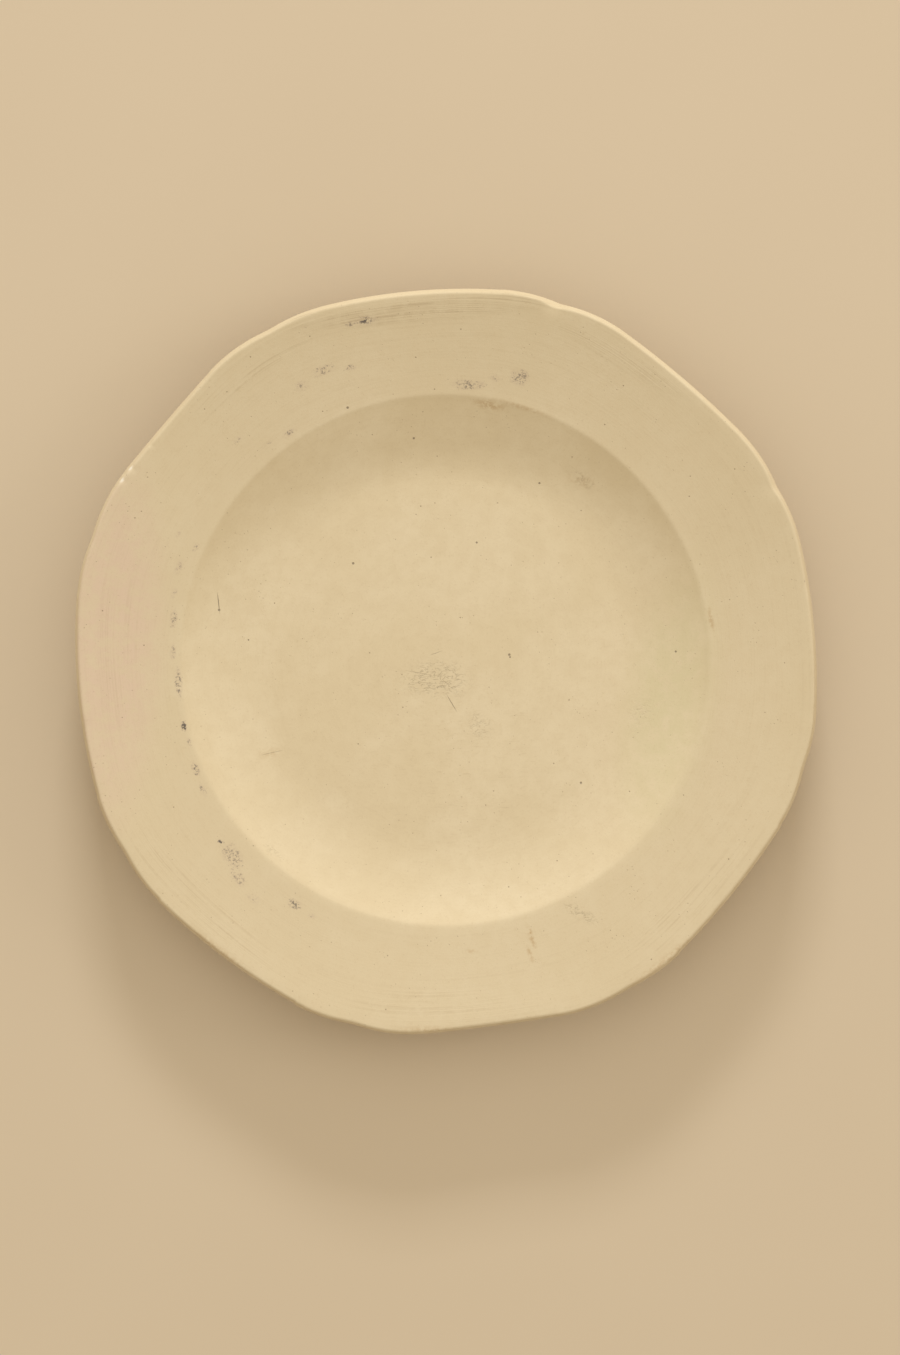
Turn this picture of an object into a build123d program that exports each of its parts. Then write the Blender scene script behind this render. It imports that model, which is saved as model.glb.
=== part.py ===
from build123d import *
from math import cos, radians, sin, tan
import os

# A plate cast in one piece of solid plaster: a flat well, a concave wall that rises to a
# crisp shoulder, and a slightly hollow flange. Its edge is cut to eight shallow sides, and
# each corner is a pair of rounded shoulders with a shallow notch between them.
# It lies face up on its foot ring. The origin is under its middle, on the resting plane.

# Face, as radii and heights above the resting plane (mm)
FLOOR_RADIUS = 61.0
FLOOR_HEIGHT = 9.5
SHOULDER_RADIUS = 90.4
SHOULDER_HEIGHT = 18.8
SHOULDER_BREAK = 2.0
FLANGE_START_SLOPE = 8.0
FLANGE_SWEEP = 7.0
FLANGE_HOLLOW = 380.0

# Back: foot ring, recess inside it, and the underside of the wall
FOOT_RADIUS = 76.0
FOOT_WIDTH = 7.0
FOOT_FLARE = 1.2
RECESS_HEIGHT = 2.5
FOOT_TOP_HEIGHT = 4.6
FOOT_BREAK = 0.8
FOOT_FILLET = 2.0
WALL_BACK_BULGE = Vector(87.5, 8.6)
BACK_SHOULDER_BREAK = 9.0

# Edge: drawn in towards the face, with its arrises rubbed down front and back
EDGE_THICKNESS = 6.0
EDGE_TAPER = 20.0
EDGE_FACE_HEIGHT = 25.6
FRONT_ARRIS = 1.0
BACK_ARRIS = 1.8

# Outline at the back arris, corner by corner, counter-clockwise. The cutting was done by
# hand, so the corners are uneven: angle of the notch, reach of its two shoulders, angle
# from the notch to each shoulder, reach at the middle of the next side, round of the notch.
CORNERS = [
    (27.6, 128.5, 4.6, 126.2, 15.0),
    (72.0, 128.6, 5.2, 126.7, 9.0),
    (118.0, 128.4, 4.7, 125.6, 35.0),
    (160.6, 128.2, 4.6, 126.1, 30.0),
    (210.6, 128.5, 4.9, 126.9, 40.0),
    (255.6, 129.1, 5.0, 126.4, 30.0),
    (299.3, 129.2, 4.8, 126.8, 45.0),
    (343.6, 128.6, 4.9, 126.8, 30.0),
]
SHOULDER_ROUND = 57.0


def polar(reach, angle):
    return Vector(reach, 0).rotate(Axis.Z, angle)


def lobed_outline(inset):
    """The eight-sided outline as tangent arcs, drawn in by inset."""
    with BuildLine() as outline:
        for corner, following in zip(CORNERS, CORNERS[1:] + CORNERS[:1]):
            angle, reach, spread, side_reach, _ = corner
            next_angle, next_reach, next_spread, _, _ = following
            reach, next_reach, side_reach = reach - inset, next_reach - inset, side_reach - inset
            near = polar(reach - SHOULDER_ROUND, angle + spread)
            far = polar(next_reach - SHOULDER_ROUND, next_angle - next_spread)
            # the side's arc touches both shoulder circles from outside
            middle = (near + far) / 2
            half_gap = (far - near).length / 2
            rise = side_reach - middle.length
            side_round = (SHOULDER_ROUND**2 - half_gap**2 - rise**2) / (2 * (SHOULDER_ROUND - rise))
            outward = middle.normalized()
            centre = outward * (side_reach - side_round)
            start = centre + (near - centre).normalized() * side_round
            end = centre + (far - centre).normalized() * side_round
            ThreePointArc(notch_point(corner, inset), polar(reach, angle + spread), start)
            ThreePointArc(start, outward * side_reach, end)
            ThreePointArc(end, polar(next_reach, next_angle - next_spread), notch_point(following, inset))
    return outline.edges()


def notch_point(corner, inset):
    """Where a corner's two shoulder circles cross, on the line of its notch."""
    angle, reach, spread, _, _ = corner
    off_axis = reach - inset - SHOULDER_ROUND
    across = off_axis * sin(radians(spread))
    return polar(off_axis * cos(radians(spread)) + (SHOULDER_ROUND**2 - across**2) ** 0.5, angle)


def circles_at(radius):
    circles = plate_mold.edges().filter_by(GeomType.CIRCLE)
    return circles.filter_by(lambda e: abs(e.radius - radius) < 0.01)


def rim_edges(lowest, highest):
    rim = plate_mold.edges().filter_by(lambda e: e.center().length > SHOULDER_RADIUS + 20)
    return rim.filter_by(lambda e: lowest < e.center().Z < highest)


with BuildPart() as plate_mold:
    # turned body, drawn out past the edge
    with BuildSketch(Plane.XZ):
        with BuildLine():
            slope = Vector(cos(radians(FLANGE_START_SLOPE)), sin(radians(FLANGE_START_SLOPE)))
            below = Vector(slope.Y, -slope.X) * EDGE_THICKNESS
            shoulder = Vector(SHOULDER_RADIUS, SHOULDER_HEIGHT)
            Line((0, RECESS_HEIGHT), (0, FLOOR_HEIGHT))
            Line((0, FLOOR_HEIGHT), (FLOOR_RADIUS, FLOOR_HEIGHT))
            TangentArc((FLOOR_RADIUS, FLOOR_HEIGHT), shoulder, tangent=(1, 0))
            face = JernArc(shoulder, slope, FLANGE_HOLLOW, FLANGE_SWEEP)
            back = JernArc(shoulder + below, slope, FLANGE_HOLLOW + EDGE_THICKNESS, FLANGE_SWEEP)
            Line(face @ 1, back @ 1)
            foot_top = (FOOT_RADIUS + FOOT_FLARE, FOOT_TOP_HEIGHT)
            ThreePointArc(back @ 0, WALL_BACK_BULGE, foot_top)
            inner_foot = FOOT_RADIUS - FOOT_WIDTH
            Polyline(
                foot_top,
                (FOOT_RADIUS, 0),
                (inner_foot, 0),
                (inner_foot - FOOT_FLARE, RECESS_HEIGHT),
                (0, RECESS_HEIGHT),
            )
        make_face()
    revolve(axis=Axis.Z)
    fillet(circles_at(SHOULDER_RADIUS), SHOULDER_BREAK)
    fillet(circles_at((shoulder + below).X), BACK_SHOULDER_BREAK)
    fillet(circles_at(FOOT_RADIUS + FOOT_FLARE) + circles_at(inner_foot - FOOT_FLARE), FOOT_FILLET)
    fillet(circles_at(FOOT_RADIUS) + circles_at(inner_foot), FOOT_BREAK)

    # eight-sided edge, drawn in towards the face
    edge_back_height = EDGE_FACE_HEIGHT - EDGE_THICKNESS * cos(radians(EDGE_TAPER))
    for height in (-1.0, EDGE_FACE_HEIGHT + 5.0):
        with BuildSketch(Plane.XY.offset(height)) as outline:
            inset = (height - edge_back_height) * tan(radians(EDGE_TAPER))
            make_face(lobed_outline(inset))
            for corner in CORNERS:
                notch = outline.vertices().sort_by_distance(notch_point(corner, inset))[0]
                fillet(notch, corner[-1])
    loft(mode=Mode.INTERSECT)

    # arrises rubbed down, front then back
    fillet(rim_edges(EDGE_FACE_HEIGHT - 1, EDGE_FACE_HEIGHT + 1), FRONT_ARRIS)
    fillet(rim_edges(edge_back_height - 1, edge_back_height + 1), BACK_ARRIS)

plate_mold.part.label = "plate_mold"

os.makedirs("parts", exist_ok=True)
export_step(plate_mold.part, "parts/plate_mold.step")
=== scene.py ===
from math import cos, hypot, pi, radians, sin

import bpy
import numpy as np
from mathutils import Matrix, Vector


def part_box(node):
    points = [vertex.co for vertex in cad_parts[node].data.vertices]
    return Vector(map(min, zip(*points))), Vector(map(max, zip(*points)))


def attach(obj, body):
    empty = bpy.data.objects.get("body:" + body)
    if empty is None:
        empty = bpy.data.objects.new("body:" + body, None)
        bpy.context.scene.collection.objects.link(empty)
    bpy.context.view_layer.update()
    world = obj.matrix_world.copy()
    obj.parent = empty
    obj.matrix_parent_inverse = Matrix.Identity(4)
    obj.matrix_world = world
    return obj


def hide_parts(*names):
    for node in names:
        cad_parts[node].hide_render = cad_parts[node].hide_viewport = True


# A plaster plate mold, face up. The visible mesh is drawn from the same dimensions as the
# CAD model, then gets the unevenness, nicks and dents of a hand-worked casting. The
# material holds what lies on the surface: scraping lines, ink specks, stains and pores. It
# also holds painted shade along the lower edge of the face and of the edge wall.
# Dimensions are in millimetres, and the mesh and the scene are in metres.

MM = 0.001

# Turned section
FLOOR_RADIUS, FLOOR_HEIGHT = 61.0, 9.5
SHOULDER_RADIUS, SHOULDER_HEIGHT = 90.4, 18.8
FLANGE_START_SLOPE = radians(8.0)
FLANGE_HOLLOW = 380.0
EDGE_THICKNESS = 6.0
EDGE_TAPER = radians(20.0)
FRONT_ARRIS, BACK_ARRIS = 1.0, 1.8
FOOT_RADIUS, FOOT_WIDTH, FOOT_FLARE, FOOT_TOP_HEIGHT = 76.0, 7.0, 1.2, 4.5
RECESS_HEIGHT = 2.5
WALL_BACK_BULGE, WALL_BACK_END = (87.5, 8.6), (77.2, 4.6)

# How gradually the wall runs into the flange, on the face and on the back
FACE_SHOULDER_EASE, BACK_SHOULDER_EASE = 0.22, 0.9

# Edge outline: notch bearing, reach of its shoulders, angle out to each shoulder, reach at
# the middle of the next side, ease of the notch
CORNERS = [
    (27.6, 128.5, 4.6, 126.2, 0.20),
    (72.0, 128.6, 5.2, 126.7, 0.14),
    (118.0, 128.4, 4.7, 125.6, 0.45),
    (160.6, 128.2, 4.6, 126.1, 0.38),
    (210.6, 128.5, 4.9, 126.9, 0.50),
    (255.6, 129.1, 5.0, 126.4, 0.38),
    (299.3, 129.2, 4.8, 126.8, 0.55),
    (343.6, 128.6, 4.9, 126.8, 0.38),
]
SHOULDER_ROUND = 57.0
# Share of the angle from a notch to its shoulders over which the notch is eased
EASED_SHARE = 0.7

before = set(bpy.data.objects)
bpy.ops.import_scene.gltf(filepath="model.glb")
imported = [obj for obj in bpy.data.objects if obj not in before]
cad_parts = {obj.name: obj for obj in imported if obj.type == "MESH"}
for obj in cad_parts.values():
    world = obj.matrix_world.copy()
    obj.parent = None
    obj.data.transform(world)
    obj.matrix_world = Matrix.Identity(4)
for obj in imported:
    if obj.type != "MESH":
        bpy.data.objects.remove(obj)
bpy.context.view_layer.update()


# ---------------------------------------------------------------- section and outline


def soft_min(a, b, ease):
    return (a + b - np.sqrt((a - b) ** 2 + ease**2)) / 2


def soft_max(a, b, ease):
    return (a + b + np.sqrt((a - b) ** 2 + ease**2)) / 2


def polar(reach, bearing):
    """A point in the plane, as a complex number."""
    return reach * np.exp(1j * np.radians(bearing))


def circle_reach(centre, radius, bearings):
    """How far from the axis a circle's far side lies, along each bearing."""
    off = np.radians(bearings) - np.angle(centre)
    across = np.abs(centre) * np.sin(off)
    return np.abs(centre) * np.cos(off) + np.sqrt(np.maximum(radius**2 - across**2, 0))


def circle_through(a, b, c):
    """Centre and radius of the circle through three points."""
    rows = np.array([[b[0] - a[0], b[1] - a[1]], [c[0] - a[0], c[1] - a[1]]])
    squares = [(b[0] ** 2 - a[0] ** 2 + b[1] ** 2 - a[1] ** 2) / 2]
    squares.append((c[0] ** 2 - a[0] ** 2 + c[1] ** 2 - a[1] ** 2) / 2)
    centre = np.linalg.solve(rows, squares)
    return centre, hypot(a[0] - centre[0], a[1] - centre[1])


def flange_centre():
    """Centre of the flange's hollow arc, which the face and the back share."""
    return (
        SHOULDER_RADIUS - FLANGE_HOLLOW * sin(FLANGE_START_SLOPE),
        SHOULDER_HEIGHT + FLANGE_HOLLOW * cos(FLANGE_START_SLOPE),
    )


def face_height(radius):
    """The face, from the middle out past the edge."""
    rise = SHOULDER_HEIGHT - FLOOR_HEIGHT
    run = SHOULDER_RADIUS - FLOOR_RADIUS
    wall_round = (run**2 + rise**2) / (2 * rise)
    # only the arc up to the shoulder matters, so it is held short of its steepest point
    out = np.clip(radius - FLOOR_RADIUS, 0, wall_round * 0.9)
    wall = FLOOR_HEIGHT + wall_round - np.sqrt(wall_round**2 - out**2)
    middle, high = flange_centre()
    flange = high - np.sqrt(FLANGE_HOLLOW**2 - (radius - middle) ** 2)
    return soft_min(wall, flange, FACE_SHOULDER_EASE)


def back_height(radius):
    """The underside, from the foot out past the edge."""
    middle, high = flange_centre()
    flange_round = FLANGE_HOLLOW + EDGE_THICKNESS
    flange = high - np.sqrt(flange_round**2 - (radius - middle) ** 2)
    start = SHOULDER_RADIUS + EDGE_THICKNESS * sin(FLANGE_START_SLOPE)
    start_height = high - np.sqrt(flange_round**2 - (start - middle) ** 2)
    centre, wall_round = circle_through((start, start_height), WALL_BACK_BULGE, WALL_BACK_END)
    # here too the arc is held short of its steepest points
    out = np.clip(radius - centre[0], -wall_round * 0.97, wall_round * 0.97)
    wall = centre[1] - np.sqrt(wall_round**2 - out**2)
    return soft_min(wall, flange, BACK_SHOULDER_EASE)


def touch_bearing(side_centre, side_round, shoulder):
    """Bearing of the point where a side's arc touches the circle of a shoulder."""
    toward = (shoulder - side_centre) / abs(shoulder - side_centre)
    return np.degrees(np.angle(side_centre + toward * side_round))


def outline_reach(bearings):
    """Reach of the edge at its back arris: shoulder arcs and the side arcs that touch them."""
    reach = np.zeros_like(bearings)
    for corner, following in zip(CORNERS, CORNERS[1:] + CORNERS[:1]):
        angle, shoulder_reach, spread, side_reach, _ = corner
        next_angle, next_reach, next_spread, _, _ = following
        near = polar(shoulder_reach - SHOULDER_ROUND, angle + spread)
        far = polar(next_reach - SHOULDER_ROUND, next_angle - next_spread)
        middle = (near + far) / 2
        half_gap, rise = abs(far - near) / 2, side_reach - abs(middle)
        side_round = SHOULDER_ROUND**2 - half_gap**2 - rise**2
        side_round /= 2 * (SHOULDER_ROUND - rise)
        side_centre = middle / abs(middle) * (side_reach - side_round)
        start = (touch_bearing(side_centre, side_round, near) - angle) % 360
        end = (touch_bearing(side_centre, side_round, far) - angle) % 360
        past = (bearings - angle) % 360
        arc = circle_reach(side_centre, side_round, bearings)
        arc = np.where(past > end, circle_reach(far, SHOULDER_ROUND, bearings), arc)
        arc = np.where(past < start, circle_reach(near, SHOULDER_ROUND, bearings), arc)
        reach = np.where(past < (next_angle - angle) % 360, arc, reach)
    for angle, shoulder_reach, spread, _, ease in CORNERS:
        # ease the crease where a corner's two shoulders meet
        centres = [polar(shoulder_reach - SHOULDER_ROUND, angle + turn) for turn in (-spread, spread)]
        sides = [circle_reach(centre, SHOULDER_ROUND, bearings) for centre in centres]
        off = np.abs((bearings - angle + 180) % 360 - 180)
        reach = np.where(off < spread * EASED_SHARE, soft_max(*sides, ease), reach)
    return reach


def edge_reach(bearings, height_share):
    """Reach of the edge wall. height_share is 0 at the back arris and 1 at the face."""
    return outline_reach(bearings) - EDGE_THICKNESS * sin(EDGE_TAPER) * height_share


# ---------------------------------------------------------------- zones on the face

# Each is a list of soft ellipses: bearing, reach, half-size around, half-size across, turn,
# softness, strength
INK = [
    (103.7, 118.4, 9.5, 1.4, -5, 0.7, 1.05),
    (103.1, 118.6, 3.0, 1.7, -5, 0.6, 1.60),
    (105.6, 118.3, 3.0, 1.0, -5, 0.7, 1.20),
    (112.6, 107.0, 6.5, 2.6, 0, 0.8, 1.00),
    (117.5, 105.5, 4.5, 2.4, 0, 0.8, 0.90),
    (107.8, 104.6, 3.4, 1.6, 0, 0.8, 1.05),
    (75.3, 99.7, 4.6, 4.0, 0, 0.6, 1.05),
    (85.0, 94.4, 8.0, 2.4, 4, 0.6, 1.05),
    (80.0, 97.6, 3.6, 1.8, 0, 0.8, 0.80),
    (124.4, 93.9, 4.5, 1.8, 0, 0.8, 0.95),
    (129.5, 95.5, 3.5, 1.4, 0, 0.8, 0.80),
    (133.0, 103.0, 3.0, 1.6, 0, 0.8, 0.75),
    (155.4, 93.3, 2.2, 1.2, 0, 0.7, 1.10),
    (154.5, 100.5, 2.0, 1.5, 0, 0.8, 0.90),
    (160.5, 96.2, 4.5, 1.8, 0, 0.8, 1.00),
    (166.0, 95.0, 3.2, 1.6, 0, 0.8, 0.90),
    (171.0, 93.6, 5.0, 1.8, 0, 0.7, 1.05),
    (178.0, 92.8, 4.0, 1.5, 0, 0.7, 1.05),
    (184.5, 91.2, 8.0, 1.8, 0, 0.7, 1.10),
    (194.0, 91.8, 2.3, 1.4, 0, 0.6, 1.60),
    (197.6, 91.6, 2.6, 1.2, 0, 0.7, 1.10),
    (203.4, 92.8, 3.8, 1.8, 0, 0.7, 1.20),
    (208.0, 93.6, 4.5, 1.4, 0, 0.7, 0.90),
    (218.8, 98.3, 1.2, 1.2, 0, 0.6, 2.00),
    (222.4, 98.4, 7.0, 4.4, -10, 0.7, 1.05),
    (226.0, 102.0, 6.0, 3.0, -15, 0.7, 0.95),
    (231.0, 104.0, 5.0, 1.8, 0, 0.8, 0.80),
    (238.3, 97.6, 3.6, 2.2, 12, 0.7, 1.40),
    (242.5, 98.2, 2.6, 1.2, 12, 0.7, 0.95),
]
STAINS_AND_EDGE_SHADE = [
    (80.0, 88.6, 8.0, 2.6, 0, 0.9, 0.55),
    (73.0, 90.3, 14.0, 1.2, 0, 0.9, 0.40),
    (53.0, 77.5, 8.0, 3.2, 25, 0.9, 0.24),
    (208.0, 67.7, 7.0, 3.0, 70, 0.9, 0.25),
    (287.4, 98.5, 1.3, 5.0, 0, 0.7, 0.75),
    (286.2, 104.0, 1.1, 3.6, 0, 0.7, 0.55),
    (275.0, 99.5, 3.5, 1.0, 0, 0.8, 0.40),
    (9.0, 91.8, 6.0, 1.2, 0, 0.8, 0.50),
    # These three rows are painted shade: a brown line along the face's edge on the lower side, away
    # from the main light
    (232.0, 125.0, 26.0, 2.2, 0, 0.9, 0.40),
    (307.0, 126.0, 22.0, 2.0, 0, 0.9, 0.40),
    (268.0, 125.5, 18.0, 2.0, 0, 0.9, 0.35),
]
PITTED = [
    (243.0, 7.4, 9.5, 17.5, 117, 0.8, 1.0),
    (280.0, 6.7, 6.0, 8.0, 80, 0.6, 1.0),
    (297.8, 25.6, 5.5, 6.0, 0, 0.7, 0.9),
    (298.2, 97.7, 8.5, 3.0, -57, 0.7, 0.9),
    (53.0, 78.0, 8.0, 3.0, 0, 0.8, 0.8),
    (228.0, 88.0, 7.0, 2.0, 0, 0.8, 0.6),
    (345.0, 70.0, 9.0, 7.0, 0, 0.9, 0.5),
]
CHALK = [
    (148.3, 125.4, 1.4, 1.1, 0, 0.6, 1.0),
    (150.6, 125.6, 1.1, 1.1, 0, 0.6, 0.9),
    (143.6, 125.2, 0.8, 0.9, 0, 0.6, 0.9),
    (146.0, 125.2, 0.6, 0.6, 0, 0.6, 0.7),
    (116.0, 127.0, 3.5, 0.7, 0, 0.9, 0.5),
]
SCRAPED = [
    (95.0, 119.5, 75.0, 5.5, 0, 0.6, 1.0),
    (125.0, 117.0, 40.0, 5.0, 0, 0.8, 0.7),
    (60.0, 119.0, 40.0, 5.0, 0, 0.8, 0.7),
    (225.0, 117.0, 60.0, 8.0, 0, 0.8, 0.75),
    (270.0, 117.0, 50.0, 8.0, 0, 0.8, 0.7),
    (315.0, 117.0, 50.0, 8.0, 0, 0.8, 0.6),
    (178.0, 112.0, 60.0, 12.0, 0, 0.8, 0.45),
]
ZONES = {
    "ink": INK,
    "stain_and_edge_shade": STAINS_AND_EDGE_SHADE,
    "pitted": PITTED,
    "chalk": CHALK,
    "scraped": SCRAPED,
    "mauve": [(177.0, 113.0, 80.0, 22.0, 0, 0.7, 0.90)],
    "green": [(350.0, 78.0, 60.0, 20.0, 0, 0.8, 0.5)],
    "strokes": [(275.0, 35.0, 60.0, 48.0, 0, 0.8, 1.0)],
}


def zone_strength(places, rows):
    """The strongest of the ellipses at each place. Places are complex numbers in the plane."""
    strength = np.zeros(places.shape)
    for bearing, reach, around, across, turn, soft, most in rows:
        local = (places - polar(reach, bearing)) * polar(1, -bearing - turn)
        inside = np.clip((1 - np.hypot(local.real / across, local.imag / around)) / soft, 0, 1)
        strength = np.maximum(strength, most * inside**2 * (3 - 2 * inside))
    return strength


# ---------------------------------------------------------------- mesh

# Nicks and dips in the edge: bearing, share of the edge's height, size, depth
NICKS = [
    (148.3, 1.0, 1.4, 0.45),
    (150.6, 1.0, 1.1, 0.40),
    (143.6, 1.0, 0.9, 0.30),
    (130.5, 0.7, 0.8, 0.30),
    (73.2, 0.9, 3.0, 0.80),
    (28.3, 0.9, 3.2, 0.50),
    (12.0, 1.0, 2.2, 0.15),
    (352.0, 0.9, 2.6, 0.20),
    (318.0, 1.0, 3.0, 0.12),
    (247.0, 1.0, 2.0, 0.18),
    (190.0, 1.0, 2.0, 0.15),
    (221.0, 0.3, 1.4, 0.25),
]

# Rings of the mesh. The middle of the well has its radii listed, and the rest of the face
# and the back go in even stretches (start, end, step), closest where the shoulder bends
WELL_RADII = [1.0, 3.0, 6.0, 9.0, 12.0, 15.0, 18.0, 22.0, 26.0, 30.0, 36.0, 43.0, 49.0, 54.0, 58.0]
FACE_STRETCHES = [(61.0, 86.0, 1.6), (86.5, 94.0, 0.6), (94.5, 101.0, 1.0), (101.5, 118.0, 1.6)]
BACK_STRETCH = (96.0, 78.5, -1.3)
RECESS_RADII = [58.0, 45.0, 32.0, 20.0, 10.0, 4.0, 1.0]
# Past these radii the rings follow the eight-sided edge
FACE_TURNED_TO, BACK_TURNED_TO = 118.5, 98.0
# Where the foot starts, and how much of each side the easing of its corners takes
FOOT_START = 78.4
FOOT_TOP_EASE, FOOT_EASE, RECESS_EASE = 1.2, 0.8, 0.9

# Slow unevenness: waves along x and y, phase, size
WAVES = [
    (0.051, 0.032, 0.4, 0.45),
    (-0.038, 0.066, 2.1, 0.35),
    (0.083, -0.047, 4.0, 0.20),
    (0.021, 0.094, 1.3, 0.20),
    (0.127, 0.058, 5.2, 0.12),
    (-0.074, 0.131, 0.9, 0.10),
]
FLANGE_WARP, FACE_RIPPLE = 0.16, 0.05


def bearing_steps():
    """Even steps round the plate, with closer ones at the nicks."""
    steps = [np.arange(0, 360, 0.6)]
    steps += [nick[0] + np.linspace(-0.9, 0.9, 7) for nick in NICKS]
    return np.unique((np.concatenate(steps) % 360).round(2))


def corner_arc(point, before, after, radius):
    """Points round a right-angled corner: before and after point away along its two sides."""
    centre = point + radius * (before + after)
    return [
        centre - radius * (after * cos(turn) + before * sin(turn))
        for turn in np.linspace(0, pi / 2, 6)
    ]


def section_rings(bearings):
    """(radius, height) of each ring, from the middle of the face to that of the back.

    Also returns how many of the rings lie on the face.
    """
    span = np.ones_like(bearings)
    face_reach, back_reach = edge_reach(bearings, 1.0), edge_reach(bearings, 0.0)
    face_corner = np.stack([face_reach, face_height(face_reach)])
    back_corner = np.stack([back_reach, back_height(back_reach)])
    inward = np.array([[-cos(EDGE_TAPER)], [-sin(EDGE_TAPER)]])
    down = back_corner - face_corner
    down = down / np.hypot(*down)
    front = corner_arc(face_corner, inward, down, FRONT_ARRIS)
    back = corner_arc(back_corner, -down, inward, BACK_ARRIS)

    rings = []

    def add_turned(radii, height):
        rings.extend(np.stack([radius * span, height(radius) * span]) for radius in radii)

    def add_eased(start, end, shares, height):
        for share in shares:
            radius = start + share * (end - start)
            rings.append(np.stack([radius, height(radius)]))

    # face, edge wall, back
    add_turned(WELL_RADII, face_height)
    for stretch in FACE_STRETCHES:
        add_turned(np.arange(*stretch), face_height)
    face_end = face_reach - FRONT_ARRIS * cos(EDGE_TAPER)
    add_eased(FACE_TURNED_TO, face_end, np.linspace(0, 1, 6)[:-1], face_height)
    rings.extend(front)
    on_face = len(rings)
    rings.append((front[-1] * 2 + back[0]) / 3)
    rings.append((front[-1] + back[0] * 2) / 3)
    rings.extend(back)
    back_end = back_reach - BACK_ARRIS * cos(EDGE_TAPER)
    add_eased(BACK_TURNED_TO, back_end, np.linspace(1, 0, 8)[1:], back_height)
    add_turned(np.arange(*BACK_STRETCH), back_height)
    rings.extend(np.stack([radius * span, height * span]) for radius, height in foot_section())
    return rings, on_face


def foot_section():
    """The foot ring and the recess inside it, with eased corners."""
    inner = FOOT_RADIUS - FOOT_WIDTH
    # each corner as a complex number, with the length that its easing takes of each side
    corners = [
        (complex(FOOT_START, back_height(FOOT_START)), 0),
        (complex(FOOT_RADIUS + FOOT_FLARE, FOOT_TOP_HEIGHT), FOOT_TOP_EASE),
        (complex(FOOT_RADIUS, 0), FOOT_EASE),
        (complex(inner, 0), FOOT_EASE),
        (complex(inner - FOOT_FLARE, RECESS_HEIGHT), RECESS_EASE),
        (complex(RECESS_RADII[0], RECESS_HEIGHT), 0),
    ]
    points = []
    for (before, _), (corner, ease), (after, _) in zip(corners, corners[1:], corners[2:]):
        start = corner + (before - corner) / abs(before - corner) * ease
        end = corner + (after - corner) / abs(after - corner) * ease
        for share in (0, 0.33, 0.67, 1):
            rest = 1 - share
            bend = rest**2 * start + 2 * share * rest * corner + share**2 * end
            points.append((bend.real, bend.imag))
    return points + [(radius, RECESS_HEIGHT) for radius in RECESS_RADII]


def unevenness(x, y):
    """Slow rise and fall of a surface worked by hand, within about one unit."""
    return sum(size * np.sin(u * x + v * y + phase) for u, v, phase, size in WAVES)


def plate_points():
    """Every ring's points, with the flange slightly warped and the face slightly rippled."""
    bearings = bearing_steps()
    angle = np.radians(bearings)
    rings, on_face = section_rings(bearings)
    points = []
    for number, (radius, height) in enumerate(rings):
        x, y = radius * np.cos(angle), radius * np.sin(angle)
        # the well and the foot stay true, and the warp grows towards the edge
        loose = np.clip((radius - 78) / 40, 0, 1)
        height = height + FLANGE_WARP * loose * unevenness(x, y)
        if number < on_face:
            height = height + FACE_RIPPLE * unevenness(1.7 * x + 9, 1.7 * y)
        points.append(np.stack([x, y, height], axis=-1))
    return np.array(points), on_face


def knock_nicks(points):
    """Push the points round each nick inwards and down."""
    for bearing, share, size, depth in NICKS:
        reach = float(edge_reach(np.array([bearing]), share)[0]) - 0.3 * FRONT_ARRIS
        low, high = float(back_height(reach)), float(face_height(reach))
        middle = polar(reach, bearing)
        spot = np.array([middle.real, middle.imag, low + share * (high - low)])
        push = np.array([-middle.real / abs(middle), -middle.imag / abs(middle), -share])
        away = np.linalg.norm(points - spot, axis=-1) / size
        points += (depth * np.exp(-(away**2)) / np.linalg.norm(push))[..., None] * push
    return points


def plate_faces(count, around):
    """Quads between count rings of points, and a fan of triangles round each pole."""
    step = np.arange(around)
    after = (step + 1) % around
    faces = []
    for ring in range(count - 1):
        near, far = ring * around, (ring + 1) * around
        faces += np.stack([near + step, far + step, far + after, near + after], axis=-1).tolist()
    top, bottom, last = count * around, count * around + 1, (count - 1) * around
    faces += [[top, a, b] for a, b in zip(step.tolist(), after.tolist())]
    faces += [[bottom, last + b, last + a] for a, b in zip(step.tolist(), after.tolist())]
    return faces


def make_plate():
    points, face_rings = plate_points()
    points = knock_nicks(points)
    count, around = points.shape[:2]
    verts = points.reshape(-1, 3)
    low, high = (np.array(corner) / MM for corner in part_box("plate_mold"))
    # sit exactly on the CAD model's resting plane and under its top
    squash = (high[2] - low[2]) / np.ptp(verts[:, 2])
    verts[:, 2] = low[2] + (verts[:, 2] - verts[:, 2].min()) * squash
    poles = [[0, 0, verts[0, 2]], [0, 0, verts[-1, 2]]]
    verts = np.vstack([verts, poles]) * MM

    mesh = bpy.data.meshes.new("plaster_plate")
    mesh.from_pydata(verts.tolist(), [], plate_faces(count, around))
    mesh.polygons.foreach_set("use_smooth", [True] * len(mesh.polygons))
    mesh.update()
    on_face = np.arange(len(verts)) < face_rings * around
    on_face[-2] = True
    store_zones(mesh, (verts[:, 0] + 1j * verts[:, 1]) / MM, on_face)
    plate = bpy.data.objects.new("plaster_plate", mesh)
    bpy.context.collection.objects.link(plate)
    return plate


def store_zones(mesh, places, on_face):
    """Keep every zone's strength on the mesh, for the material to read."""
    for name, rows in ZONES.items():
        strength = zone_strength(places, rows) * on_face
        zone = mesh.attributes.new(name, "FLOAT", "POINT")
        zone.data.foreach_set("value", strength.astype(np.float32))


# ---------------------------------------------------------------- material


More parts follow.
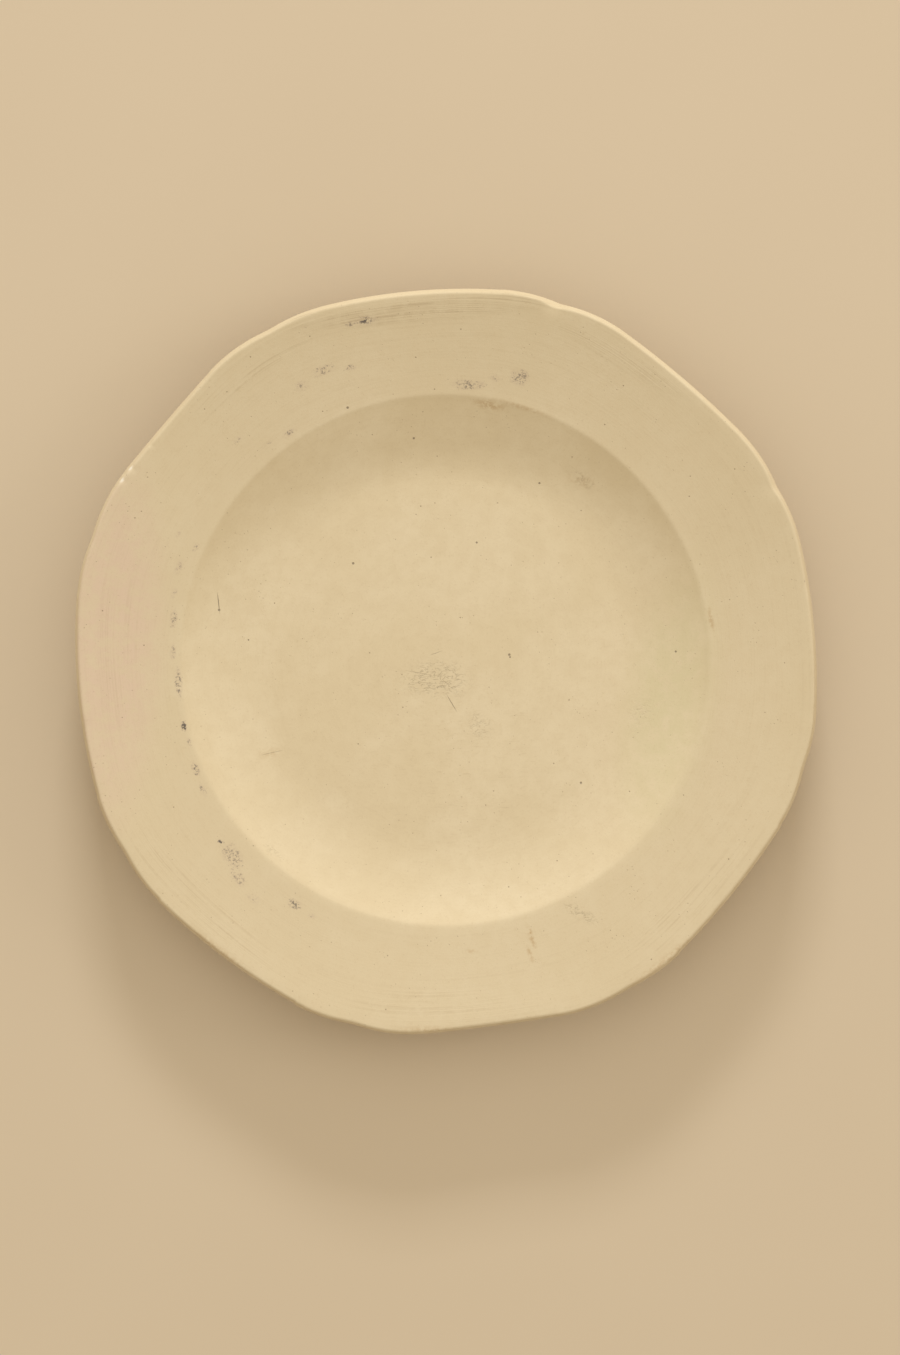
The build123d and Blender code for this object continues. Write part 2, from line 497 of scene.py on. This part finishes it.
class Graph:
    """Short names for the nodes that a material is made of."""

    def __init__(self, name):
        self.material = bpy.data.materials.new(name)
        self.material.use_nodes = True
        self.nodes = self.material.node_tree.nodes
        self.links = self.material.node_tree.links
        self.nodes.clear()

    def node(self, kind, **settings):
        made = self.nodes.new("ShaderNode" + kind)
        for name, value in settings.items():
            setattr(made, name, value)
        return made

    def put(self, value, socket):
        if isinstance(value, bpy.types.NodeSocket):
            self.links.new(value, socket)
        else:
            socket.default_value = value

    def math(self, operation, *values):
        made = self.node("Math", operation=operation)
        for value, socket in zip(values, made.inputs):
            self.put(value, socket)
        return made.outputs[0]

    def times(self, product, *factors):
        for factor in factors:
            product = self.math("MULTIPLY", product, factor)
        return product

    def vector(self, operation, *values):
        made = self.node("VectorMath", operation=operation)
        for value, socket in zip(values, made.inputs):
            self.put(value, socket)
        return made.outputs["Value" if operation == "LENGTH" else "Vector"]

    def split(self, vector):
        made = self.node("SeparateXYZ")
        self.put(vector, made.inputs[0])
        return made.outputs

    def join(self, x, y, z):
        made = self.node("CombineXYZ")
        for value, socket in zip((x, y, z), made.inputs):
            self.put(value, socket)
        return made.outputs[0]

    def noise(self, vector, scale, detail, roughness=0.5, output="Fac"):
        made = self.node("TexNoise")
        self.put(vector, made.inputs["Vector"])
        made.inputs["Scale"].default_value = scale
        made.inputs["Detail"].default_value = detail
        made.inputs["Roughness"].default_value = roughness
        return made.outputs[output]

    def cells(self, vector, scale, feature="F1"):
        made = self.node("TexVoronoi", feature=feature)
        self.put(vector, made.inputs["Vector"])
        made.inputs["Scale"].default_value = scale
        return made.outputs["Distance"]

    def fade(self, value, start, end, low=0.0, high=1.0):
        """low up to start, high from end on, and a smooth step between them."""
        made = self.node("MapRange", interpolation_type="SMOOTHSTEP")
        for entry, socket in zip((value, start, end, low, high), made.inputs):
            self.put(entry, socket)
        return made.outputs[0]

    def blend(self, share, a, b):
        made = self.node("Mix", data_type="RGBA")
        for entry, name in ((share, "Factor_Float"), (a, "A_Color"), (b, "B_Color")):
            self.put(entry, next(s for s in made.inputs if s.identifier == name))
        return next(s for s in made.outputs if s.identifier == "Result_Color")

    def frame_of(self, vector, location, rotation, scale):
        """The vector as seen from a frame that is moved, turned about Z and scaled."""
        made = self.node("Mapping", vector_type="TEXTURE")
        self.put(vector, made.inputs["Vector"])
        made.inputs["Location"].default_value = location
        made.inputs["Rotation"].default_value = (0, 0, rotation)
        made.inputs["Scale"].default_value = scale
        return made.outputs[0]

    def zone(self, name):
        """The strength of a zone that is stored on the mesh."""
        return self.node("Attribute", attribute_name=name).outputs["Fac"]

    def surface(self, colour, roughness):
        """The material's one shader, joined to its output."""
        shader = self.node("BsdfPrincipled")
        self.put(colour, shader.inputs["Base Color"])
        self.put(roughness, shader.inputs["Roughness"])
        self.links.new(shader.outputs[0], self.node("OutputMaterial").inputs[0])
        return shader


# Scratches: bearing and reach of the middle, half-length, half-width, turn from the radius,
# strength
SCRATCHES = [
    (165.7, 80.1, 4.6, 0.18, 110, 1.0),
    (279.0, 15.0, 4.2, 0.19, 22, 0.75),
    (208.0, 67.7, 5.0, 0.16, -16, 0.45),
    (262.0, 9.0, 3.5, 0.14, -67, 0.5),
    (222.0, 11.5, 4.0, 0.14, -40, 0.4),
    (205.0, 10.0, 3.5, 0.13, -35, 0.5),
    (140.0, 4.0, 3.0, 0.13, 60, 0.5),
]
# Dark dots: bearing, reach, size
DOTS = [
    (133.4, 46.0, 0.55),
    (5.2, 22.2, 0.55),
    (3.0, 22.4, 0.40),
    (167.3, 79.4, 0.55),
    (174.0, 68.0, 0.35),
    (130.5, 125.3, 0.70),
    (2.3, 79.2, 0.45),
    (98.0, 77.0, 0.50),
    (62.0, 69.0, 0.45),
    (318.0, 63.0, 0.50),
    (75.0, 42.0, 0.45),
    (111.0, 92.4, 0.55),
]
# The scraping lines swing this far (mm) to follow the sides, furthest out at this bearing
LOBE_BEARING, LOBE_DEPTH = 27.9, 1.2
RELIEF_DEPTH = 0.3 * MM

CREAM = (0.765, 0.665, 0.480, 1)
PALE_CREAM = (0.800, 0.705, 0.525, 1)
SOILED = (0.700, 0.605, 0.435, 1)
MOTTLED = (0.715, 0.610, 0.430, 1)
MAUVE = (0.750, 0.605, 0.485, 1)
GREEN = (0.725, 0.680, 0.455, 1)
DUST = (0.56, 0.45, 0.29, 1)
LINE_BROWN = (0.52, 0.42, 0.28, 1)
STROKE_BROWN = (0.50, 0.40, 0.26, 1)
# brown of the stains and of the painted shade along the lower edge of the face
STAIN_AND_SHADE_BROWN = (0.50, 0.34, 0.17, 1)
CRACK_BROWN = (0.32, 0.25, 0.16, 1)
INK_HAZE = (0.50, 0.39, 0.33, 1)
INK_BLACK = (0.085, 0.080, 0.085, 1)
PORE_BROWN = (0.25, 0.18, 0.11, 1)
MARK_BROWN = (0.17, 0.13, 0.10, 1)
# brown of the painted shade on the lower side of the edge wall
EDGE_SHADE_BROWN = (0.42, 0.31, 0.18, 1)
CHALK_WHITE = (0.93, 0.90, 0.83, 1)
FLOOR_TONES = [(0.700, 0.600, 0.468, 1), (0.712, 0.612, 0.480, 1)]


class Plaster(Graph):
    """The plaster, laid on layer by layer. Its point and radius are in millimetres."""

    def __init__(self, name):
        super().__init__(name)
        place = self.node("TexCoord").outputs["Object"]
        self.point = self.vector("MULTIPLY", place, (1 / MM, 1 / MM, 1 / MM))
        self.x, self.y, _ = self.split(self.point)
        self.radius = self.vector("LENGTH", self.vector("MULTIPLY", self.point, (1.0, 1.0, 0.0)))
        self.up = self.split(self.node("NewGeometry").outputs["Normal"])[2]
        self.patchy = self.noise(self.point, 0.19, 5.0, 0.68)
        self.grain = self.noise(self.point, 1.1, 4.0, 0.72)

    def lay(self, share, colour):
        """Cover what is there so far with a colour, as far as share says."""
        self.colour = self.blend(share, self.colour, colour)

    def patch(self, bearing, reach, around, across, turn, soft):
        """1 in the middle of an ellipse on the plate, fading to 0 at its edge."""
        middle = polar(reach, bearing)
        location, rotation = (middle.real, middle.imag, 0), radians(bearing + turn)
        local = self.frame_of(self.point, location, rotation, (across, around, 1e4))
        return self.fade(self.vector("LENGTH", local), 1.0 - soft, 1.0, 1.0, 0.0)

    def lay_body(self):
        """Cream and slowly mottled, soiled on the flange, with a mauve cast and a green one."""
        slow = self.noise(self.point, 0.03, 3.0, 0.55)
        self.colour = self.blend(self.fade(slow, 0.35, 0.65), CREAM, PALE_CREAM)
        self.lay(self.times(self.fade(self.radius, 87.0, 95.0), 0.5), SOILED)
        self.lay(self.fade(self.patchy, 0.35, 0.65, 0.0, 0.34), MOTTLED)
        self.lay(self.times(self.zone("mauve"), self.fade(self.patchy, 0.35, 0.6, 0.4, 1.0)), MAUVE)
        self.lay(self.times(self.zone("green"), self.fade(self.patchy, 0.3, 0.6, 0.3, 1.0)), GREEN)
        self.lay(self.fade(self.grain, 0.52, 0.76, 0.0, 0.28), DUST)

    def lay_lines(self):
        """Scraping lines round the plate, which near the edge follow its eight sides.

        Returns the height that they give the surface.
        """
        turn = self.math("ARCTAN2", self.y, self.x)
        past_corner = self.math("SUBTRACT", turn, radians(LOBE_BEARING))
        lobes = self.math("COSINE", self.times(past_corner, float(len(CORNERS))))
        pull = self.fade(self.radius, 92.0, 122.0, 0.0, LOBE_DEPTH)
        track = self.math("SUBTRACT", self.radius, self.times(lobes, pull))
        around_x = self.times(self.math("COSINE", turn), 1.3)
        around_y = self.times(self.math("SINE", turn), 1.3)
        lines = self.noise(self.join(self.times(track, 1.1), around_x, around_y), 1.0, 3.0, 0.8)
        everywhere = self.fade(self.radius, 88.0, 96.0, 0.08, 0.17)
        strength = self.math("MAXIMUM", self.zone("scraped"), everywhere)
        worn = self.times(strength, self.fade(self.patchy, 0.38, 0.58, 0.15, 0.5))
        self.lay(self.times(self.fade(lines, 0.50, 0.62), worn), LINE_BROWN)
        return self.times(lines, strength)

    def lay_strokes(self):
        """Short level scrapes over the lower part of the well."""
        strokes = self.noise(self.vector("MULTIPLY", self.point, (0.16, 1.5, 1.0)), 1.0, 3.0, 0.7)
        strokes = self.times(self.fade(strokes, 0.56, 0.72), self.fade(self.patchy, 0.42, 0.58))
        self.lay(self.times(strokes, self.zone("strokes"), 0.26), STROKE_BROWN)

    def lay_stains_and_edge_shade(self):
        # brown stains, and the painted shade along the lower edge of the face
        blot = self.noise(self.point, 0.7, 4.0, 0.65)
        self.lay(self.times(self.zone("stain_and_edge_shade"), self.fade(blot, 0.38, 0.60)), STAIN_AND_SHADE_BROWN)

    def lay_cracks(self):
        """Short curved cracks in the pitted patches. Returns where they are."""
        wander = self.noise(self.point, 0.35, 2.0, output="Color")
        bent = self.vector("ADD", self.point, self.vector("MULTIPLY", wander, (6.0, 4.0, 0.0)))
        tilted = self.frame_of(bent, (0, 0, 0), radians(14), (3.4, 0.75, 1.0))
        between = self.cells(tilted, 1.0, "DISTANCE_TO_EDGE")
        broken = self.fade(self.noise(self.point, 0.70, 4.0, 0.75), 0.46, 0.58)
        cracks = self.times(self.fade(between, 0.02, 0.14, 1.0, 0.0), broken, self.zone("pitted"))
        self.lay(self.times(cracks, 0.13), CRACK_BROWN)
        return cracks

    def lay_ink(self):
        """Specks in the clusters, darkest in the strongest ones, with a faint haze round them."""
        noise, zone = self.noise(self.point, 1.05, 4.0, 0.78), self.zone("ink")
        haze = self.fade(zone, 0.1, 1.0, 0.0, 0.36)
        self.lay(self.times(haze, self.fade(noise, 0.38, 0.58)), INK_HAZE)
        threshold = self.math("SUBTRACT", 0.67, self.times(zone, 0.15))
        speck = self.fade(self.math("SUBTRACT", noise, threshold), 0.0, 0.06)
        within, dark = self.fade(zone, 0.02, 0.2), self.fade(zone, 0.8, 1.6, 0.48, 0.88)
        self.lay(self.times(speck, within, dark), INK_BLACK)

    def lay_pores(self):
        """Small brown pits all over, and rarer dark ones. Returns where they are."""
        small = self.fade(self.cells(self.point, 0.55), 0.05, 0.13, 1.0, 0.0)
        small_places = self.fade(self.noise(self.point, 0.10, 3.0, 0.6), 0.47, 0.62)
        stray = self.fade(self.cells(self.point, 0.21), 0.02, 0.075, 1.0, 0.0)
        stray_places = self.fade(self.noise(self.point, 0.12, 1.0, 0.5), 0.46, 0.58)
        small = self.times(small, small_places, 0.65)
        stray = self.times(stray, stray_places, 0.9)
        pores = self.math("MAXIMUM", small, stray)
        self.lay(self.times(pores, 0.75), PORE_BROWN)
        return pores

    def lay_marks(self):
        """The scratches and dots, kept off the edge's wall. Returns where they are."""
        marks = 0.0
        for bearing, reach, half_length, half_width, lean, strength in SCRATCHES:
            line = self.patch(bearing, reach, half_width, half_length, lean, 0.6)
            marks = self.math("MAXIMUM", marks, self.times(line, strength))
        for bearing, reach, size in DOTS:
            marks = self.math("MAXIMUM", marks, self.patch(bearing, reach, size, size, 0, 0.5))
        marks = self.times(marks, self.fade(self.up, 0.6, 0.9))
        self.lay(self.times(marks, 0.7), MARK_BROWN)
        return marks

    def lay_edge_shade(self):
        """Painted shade on the wall of the edge, darker on the side towards -Y, away from the main
        light, and patchy.
        """
        at_edge = self.fade(self.radius, 121.0, 124.0)
        upright = self.fade(self.up, 0.50, 0.85, 1.0, 0.0)
        lower_side = self.fade(self.y, -70.0, 20.0, 0.30, 0.0)
        uneven = self.fade(self.patchy, 0.35, 0.6, 0.5, 1.0)
        self.lay(self.times(at_edge, upright, lower_side, uneven), EDGE_SHADE_BROWN)

    def bump(self, height):
        made = self.node("Bump")
        made.inputs["Strength"].default_value = 1.0
        made.inputs["Distance"].default_value = RELIEF_DEPTH
        self.put(height, made.inputs["Height"])
        return made.outputs[0]


def plaster_material():
    g = Plaster("scraped_plaster")
    g.lay_body()
    lines = g.lay_lines()
    g.lay_strokes()
    g.lay_stains_and_edge_shade()
    cracks = g.lay_cracks()
    g.lay_ink()
    pores = g.lay_pores()
    marks = g.lay_marks()
    # painted shade on the wall of the edge, on its lower side
    g.lay_edge_shade()
    # fresh white plaster where the edge was knocked
    g.lay(g.zone("chalk"), CHALK_WHITE)

    relief = g.times(g.grain, 0.12)
    relief = g.math("ADD", relief, g.times(g.noise(g.point, 3.5, 2.0, 0.6), 0.06))
    relief = g.math("ADD", relief, g.times(lines, 0.55))
    relief = g.math("SUBTRACT", relief, g.times(cracks, 0.38))
    relief = g.math("SUBTRACT", relief, g.times(g.math("MAXIMUM", marks, pores), 0.3))

    shader = g.surface(g.colour, g.fade(g.grain, 0.3, 0.7, 0.80, 0.95))
    g.put(g.bump(relief), shader.inputs["Normal"])
    shader.inputs["Specular IOR Level"].default_value = 0.3
    return g.material


def floor_material():
    g = Graph("pale_floor")
    place = g.node("TexCoord").outputs["Object"]
    g.surface(g.blend(g.fade(g.noise(place, 6.0, 3.0), 0.3, 0.7), *FLOOR_TONES), 0.9)
    return g.material


# ---------------------------------------------------------------- scene

LIGHT_DISTANCE = 3.0

# The camera looks down at the face from nearly straight above its middle (metres)
CAMERA_AIM = (0.0017, -0.0054, 0.0216)
CAMERA_DISTANCE, CAMERA_LEAN = 1.0, radians(2.0)
LENS, SENSOR_WIDTH = 78.1, 36.0


def make_floor():
    bpy.ops.mesh.primitive_plane_add(size=8.0, location=(0, 0, 0))
    floor = bpy.context.object
    floor.name = "floor"
    floor.data.materials.append(floor_material())


def area_light(name, toward, size, power, colour):
    """A rectangular soft light, aimed at the plate from the direction given."""
    light = bpy.data.lights.new(name, "AREA")
    light.shape = "RECTANGLE"
    light.size, light.size_y = size
    light.energy, light.color = power, colour
    lamp = bpy.data.objects.new(name, light)
    lamp.location = Vector(toward).normalized() * LIGHT_DISTANCE
    lamp.rotation_euler = (-lamp.location).to_track_quat("-Z", "Y").to_euler()
    lamp.visible_camera = False
    bpy.context.collection.objects.link(lamp)


def make_lights():
    """A low window light from +Y, a weak one from +X, a soft ceiling, and the room's glow."""
    low, side = radians(21), radians(25)
    area_light("main_light", (0, cos(low), sin(low)), (0.85, 0.38), 42, (1.0, 0.99, 0.95))
    area_light("side_light", (cos(side), 0.15, sin(side)), (1.0, 1.0), 10, (1.0, 0.95, 0.85))
    area_light("ceiling", (-0.1, 0.6, 1.0), (2.0, 2.0), 5.5, (1.0, 0.97, 0.90))
    world = bpy.data.worlds.new("soft_room")
    world.use_nodes = True
    background = world.node_tree.nodes["Background"]
    background.inputs["Color"].default_value = (1.0, 0.865, 0.660, 1)
    background.inputs["Strength"].default_value = 0.665
    bpy.context.scene.world = world


def make_camera():
    camera = bpy.data.cameras.new("camera")
    camera.sensor_width, camera.lens = SENSOR_WIDTH, LENS
    camera.clip_end = 20.0
    rig = bpy.data.objects.new("camera", camera)
    back = Vector((0, sin(CAMERA_LEAN), cos(CAMERA_LEAN)))
    rig.location = Vector(CAMERA_AIM) + back * CAMERA_DISTANCE
    rig.rotation_euler = (-CAMERA_LEAN, 0, 0)
    bpy.context.collection.objects.link(rig)
    bpy.context.scene.camera = rig


make_camera()
make_lights()
make_floor()

plate = make_plate()
plate.data.materials.append(plaster_material())
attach(plate, "root")
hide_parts("plate_mold")

bpy.context.scene.view_settings.view_transform = "Standard"
